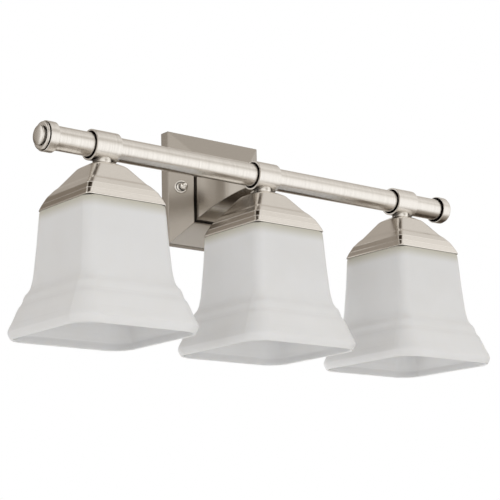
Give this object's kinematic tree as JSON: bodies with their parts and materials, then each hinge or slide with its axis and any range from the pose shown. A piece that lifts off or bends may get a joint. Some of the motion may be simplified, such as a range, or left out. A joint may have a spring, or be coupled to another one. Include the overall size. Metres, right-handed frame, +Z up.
{
  "type": "vanity light bar",
  "caption": "Wall light bar with bell shaped square glass shades under a satin metal tube, held out from a square canopy by a flared arm.",
  "frame": {"origin": "centre of the canopy's back plane, on the wall", "axes": "+Z up, +Y into the wall, +X to the right of someone facing the wall"},
  "size_m": [0.5806, 0.1762, 0.2627],
  "materials": {
    "satin_nickel": "brushed nickel plating, satin",
    "bright_nickel": "polished nickel plating",
    "frosted_glass": "acid etched opal glass, matt",
    "porcelain": "glazed porcelain white",
    "brass": "plain brass",
    "zinc_steel": "zinc plated",
    "green_zinc": "green dyed zinc",
    "black_insulation": "soft insulation",
    "white_insulation": "soft insulation",
    "green_insulation": "soft insulation",
    "orange_plastic": "moulded"
  },
  "bodies": {
    "bracket": {"wall_strap": "zinc_steel", "stud_screws": "zinc_steel", "stud_nuts": "zinc_steel", "ground_screw": "green_zinc"},
    "fixture": {"canopy": "satin_nickel", "arm": "satin_nickel", "arm_nipple": "brass", "lock_nuts": "brass", "dome_washers": "bright_nickel", "bar_tube": "satin_nickel", "end_ring_left": "satin_nickel", "end_ring_right": "satin_nickel", "end_knob_left": "satin_nickel", "end_knob_right": "satin_nickel", "collar_left": "satin_nickel", "collar_centre": "satin_nickel", "collar_right": "satin_nickel", "neck_left": "bright_nickel", "neck_centre": "bright_nickel", "neck_right": "bright_nickel", "nipple_left": "brass", "nipple_centre": "brass", "nipple_right": "brass", "lamp_cap_left": "satin_nickel", "lamp_cap_centre": "satin_nickel", "lamp_cap_right": "satin_nickel", "socket_left": "porcelain", "socket_centre": "porcelain", "socket_right": "porcelain", "screw_shell_left": "brass", "screw_shell_centre": "brass", "screw_shell_right": "brass", "black_leads": "black_insulation", "white_leads": "white_insulation", "ground_lead": "green_insulation", "wire_nuts": "orange_plastic"},
    "nut_left": {"cap_nut_left": "bright_nickel"},
    "nut_right": {"cap_nut_right": "bright_nickel"},
    "shade_left_body": {"shade_left": "frosted_glass"},
    "ring_left": {"shade_ring_left": "porcelain"},
    "contact_left_body": {"contact_left": "brass"},
    "shade_centre_body": {"shade_centre": "frosted_glass"},
    "ring_centre": {"shade_ring_centre": "porcelain"},
    "contact_centre_body": {"contact_centre": "brass"},
    "shade_right_body": {"shade_right": "frosted_glass"},
    "ring_right": {"shade_ring_right": "porcelain"},
    "contact_right_body": {"contact_right": "brass"}
  },
  "joints": [
    {"name": "fixture_pull_off", "type": "slide", "parent": "bracket", "child": "fixture", "axis": [0, -1, 0], "range_m": [0, 0.03]},
    {"name": "cap_nut_turn_left", "type": "hinge", "parent": "fixture", "child": "nut_left", "pos_m": [-0.0535, -0.027, 0], "axis": [0, -1, 0], "range_deg": [0, 1440]},
    {"name": "cap_nut_turn_right", "type": "hinge", "parent": "fixture", "child": "nut_right", "pos_m": [0.0535, -0.027, 0], "axis": [0, -1, 0], "range_deg": [0, 1440]},
    {"name": "shade_drop_left", "type": "slide", "parent": "fixture", "child": "shade_left_body", "axis": [0, 0, -1], "range_m": [0, 0.06]},
    {"name": "ring_turn_left", "type": "hinge", "parent": "shade_left_body", "child": "ring_left", "pos_m": [-0.213, -0.1005, -0.0715], "axis": [0, 0, -1], "range_deg": [0, 1080]},
    {"name": "contact_push_left", "type": "slide", "parent": "fixture", "child": "contact_left_body", "axis": [0, 0, 1], "range_m": [0, 0.0015], "stiffness_N_per_m": 600, "springref_m": -0.0003},
    {"name": "shade_drop_centre", "type": "slide", "parent": "fixture", "child": "shade_centre_body", "axis": [0, 0, -1], "range_m": [0, 0.06]},
    {"name": "ring_turn_centre", "type": "hinge", "parent": "shade_centre_body", "child": "ring_centre", "pos_m": [0, -0.1005, -0.0715], "axis": [0, 0, -1], "range_deg": [0, 1080]},
    {"name": "contact_push_centre", "type": "slide", "parent": "fixture", "child": "contact_centre_body", "axis": [0, 0, 1], "range_m": [0, 0.0015], "stiffness_N_per_m": 600, "springref_m": -0.0003},
    {"name": "shade_drop_right", "type": "slide", "parent": "fixture", "child": "shade_right_body", "axis": [0, 0, -1], "range_m": [0, 0.06]},
    {"name": "ring_turn_right", "type": "hinge", "parent": "shade_right_body", "child": "ring_right", "pos_m": [0.213, -0.1005, -0.0715], "axis": [0, 0, -1], "range_deg": [0, 1080]},
    {"name": "contact_push_right", "type": "slide", "parent": "fixture", "child": "contact_right_body", "axis": [0, 0, 1], "range_m": [0, 0.0015], "stiffness_N_per_m": 600, "springref_m": -0.0003}
  ]
}
